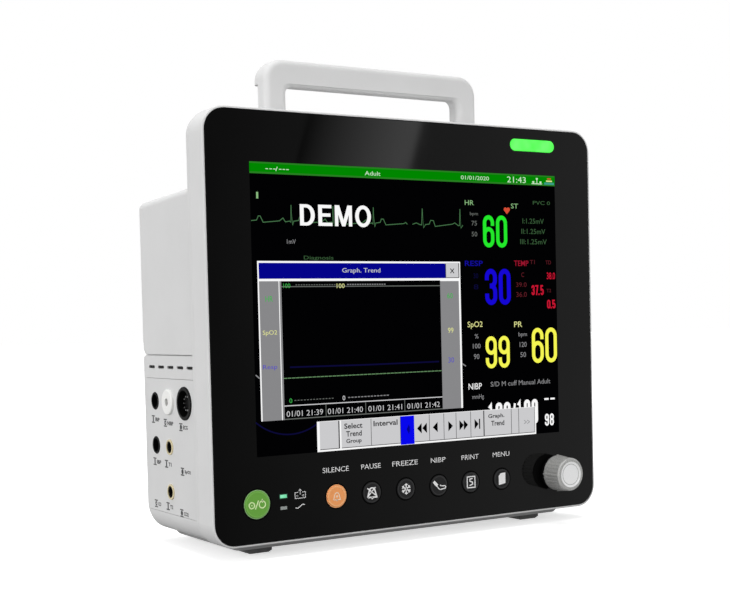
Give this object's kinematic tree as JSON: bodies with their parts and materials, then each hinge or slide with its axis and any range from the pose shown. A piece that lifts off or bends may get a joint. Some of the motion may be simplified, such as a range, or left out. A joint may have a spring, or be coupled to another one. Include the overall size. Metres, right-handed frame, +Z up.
{
  "type": "patient monitor",
  "caption": "Bedside vital-signs monitor: black-glass screen front with keys and a push-turn knob, deep rear case with patient sockets, and a carrying handle.",
  "frame": {"origin": "on the floor under the middle of the bounding box", "axes": "+X to the right of someone facing the screen, +Y to the back, +Z up"},
  "size_m": [0.311, 0.146, 0.3246],
  "materials": {
    "housing_plastic": "fine moulded texture, off-white",
    "base_plastic": "fine moulded texture, grey",
    "black_glass": "polished black cover glass",
    "alarm_lens": "lit translucent green",
    "green_lens": "lit translucent green",
    "clear_lens": "unlit translucent",
    "power_key": "satin green",
    "silence_key": "satin orange",
    "dark_key": "satin dark grey",
    "black_plastic": "fine moulded texture, black",
    "white_plastic": "smooth white",
    "knob_silver": "silver-painted plastic",
    "knob_pale": "smooth pale grey",
    "foot_rubber": "moulded rubber",
    "black_rubber": "moulded rubber",
    "clear_rubber": "silicone",
    "lcd": "polarising film",
    "steel": "machined",
    "sheet_steel": "zinc-plated sheet",
    "screw_steel": "zinc-plated",
    "pump_metal": "satin",
    "aluminium": "extruded",
    "brass": "gold-plated",
    "circuit_board": "solder mask",
    "cable_film": "polyimide film",
    "battery_wrap": "shrink wrap",
    "paper": "thermal paper"
  },
  "bodies": {
    "monitor": {"front_housing": "housing_plastic", "rear_housing": "housing_plastic", "lower_cover": "housing_plastic", "handle": "housing_plastic", "connector_panel": "housing_plastic", "base_plate": "base_plastic", "recorder_housing": "housing_plastic", "front_glass": "black_glass", "alarm_lens": "alarm_lens", "charge_indicator": "green_lens", "mains_indicator": "clear_lens", "knob_collar": "black_plastic", "encoder_body": "steel", "feet": "foot_rubber", "display_gasket": "black_rubber", "seam_gasket": "black_rubber", "lcd_panel": "lcd", "lcd_backlight": "black_plastic", "lcd_bracket": "sheet_steel", "alarm_light_board": "circuit_board", "key_board": "circuit_board", "main_board": "circuit_board", "parameter_board": "circuit_board", "power_board": "circuit_board", "display_cable": "cable_film", "chassis_plate": "sheet_steel", "heatsink": "aluminium", "ibp_sockets": "black_plastic", "nibp_port": "white_plastic", "ecg_socket": "black_plastic", "ecg_pins": "steel", "temp_jacks": "black_plastic", "temp_jack_rings": "brass", "nibp_pump": "pump_metal", "nibp_valve": "black_plastic", "air_tube": "clear_rubber", "battery_pack": "battery_wrap", "speaker": "black_plastic", "ac_inlet": "black_plastic", "earth_terminal": "brass", "rear_port_plate": "sheet_steel", "print_head": "steel", "case_screws": "screw_steel", "handle_screws": "screw_steel", "internal_screws": "screw_steel"},
    "power_key": {"power_button": "power_key"},
    "silence_key": {"silence_button": "silence_key"},
    "pause_key": {"pause_button": "dark_key"},
    "freeze_key": {"freeze_button": "dark_key"},
    "nibp_key": {"nibp_button": "dark_key"},
    "print_key": {"print_button": "dark_key"},
    "menu_key": {"menu_button": "dark_key"},
    "knob_push": {"encoder_plunger": "black_plastic"},
    "knob_turn": {"encoder_shaft": "steel", "rotary_knob": "knob_silver", "knob_cap": "knob_pale"},
    "battery_door": {"battery_door": "housing_plastic"},
    "recorder_door": {"recorder_door": "housing_plastic"},
    "paper_roll": {"paper_roll": "paper"},
    "platen": {"platen_roller": "black_rubber"}
  },
  "joints": [
    {"name": "power_press", "type": "slide", "parent": "monitor", "child": "power_key", "axis": [0, 1, 0], "range_m": [0, 0.0012], "stiffness_N_per_m": 1500, "springref_m": -0.0005},
    {"name": "silence_press", "type": "slide", "parent": "monitor", "child": "silence_key", "axis": [0, 1, 0], "range_m": [0, 0.0012], "stiffness_N_per_m": 1500, "springref_m": -0.0005},
    {"name": "pause_press", "type": "slide", "parent": "monitor", "child": "pause_key", "axis": [0, 1, 0], "range_m": [0, 0.0012], "stiffness_N_per_m": 1500, "springref_m": -0.0005},
    {"name": "freeze_press", "type": "slide", "parent": "monitor", "child": "freeze_key", "axis": [0, 1, 0], "range_m": [0, 0.0012], "stiffness_N_per_m": 1500, "springref_m": -0.0005},
    {"name": "nibp_press", "type": "slide", "parent": "monitor", "child": "nibp_key", "axis": [0, 1, 0], "range_m": [0, 0.0012], "stiffness_N_per_m": 1500, "springref_m": -0.0005},
    {"name": "print_press", "type": "slide", "parent": "monitor", "child": "print_key", "axis": [0, 1, 0], "range_m": [0, 0.0012], "stiffness_N_per_m": 1500, "springref_m": -0.0005},
    {"name": "menu_press", "type": "slide", "parent": "monitor", "child": "menu_key", "axis": [0, 1, 0], "range_m": [0, 0.0012], "stiffness_N_per_m": 1500, "springref_m": -0.0005},
    {"name": "knob_press", "type": "slide", "parent": "monitor", "child": "knob_push", "axis": [0, 1, 0], "range_m": [0, 0.0008], "stiffness_N_per_m": 4000, "springref_m": -0.0005},
    {"name": "knob_turn", "type": "hinge", "parent": "knob_push", "child": "knob_turn", "pos_m": [0.11475, -0.0522, 0.0365], "axis": [0, 1, 0], "continuous": true},
    {"name": "battery_door_hinge", "type": "hinge", "parent": "monitor", "child": "battery_door", "pos_m": [0.0347, 0.0715, 0.0298], "axis": [-1, 0, 0], "range_deg": [0, 95]},
    {"name": "recorder_door_hinge", "type": "hinge", "parent": "monitor", "child": "recorder_door", "pos_m": [0.1485, 0.0228, 0.0518], "axis": [0, 1, 0], "range_deg": [0, 80]},
    {"name": "paper_roll_spin", "type": "hinge", "parent": "monitor", "child": "paper_roll", "pos_m": [0.121, 0.0228, 0.07], "axis": [0, 1, 0], "continuous": true},
    {"name": "platen_spin", "type": "hinge", "parent": "recorder_door", "child": "platen", "pos_m": [0.141, 0.0228, 0.093], "axis": [0, 1, 0], "continuous": true}
  ],
  "couplings": [
    {"joint": "platen_spin", "follows": "paper_roll_spin", "ratio": -3.8}
  ]
}
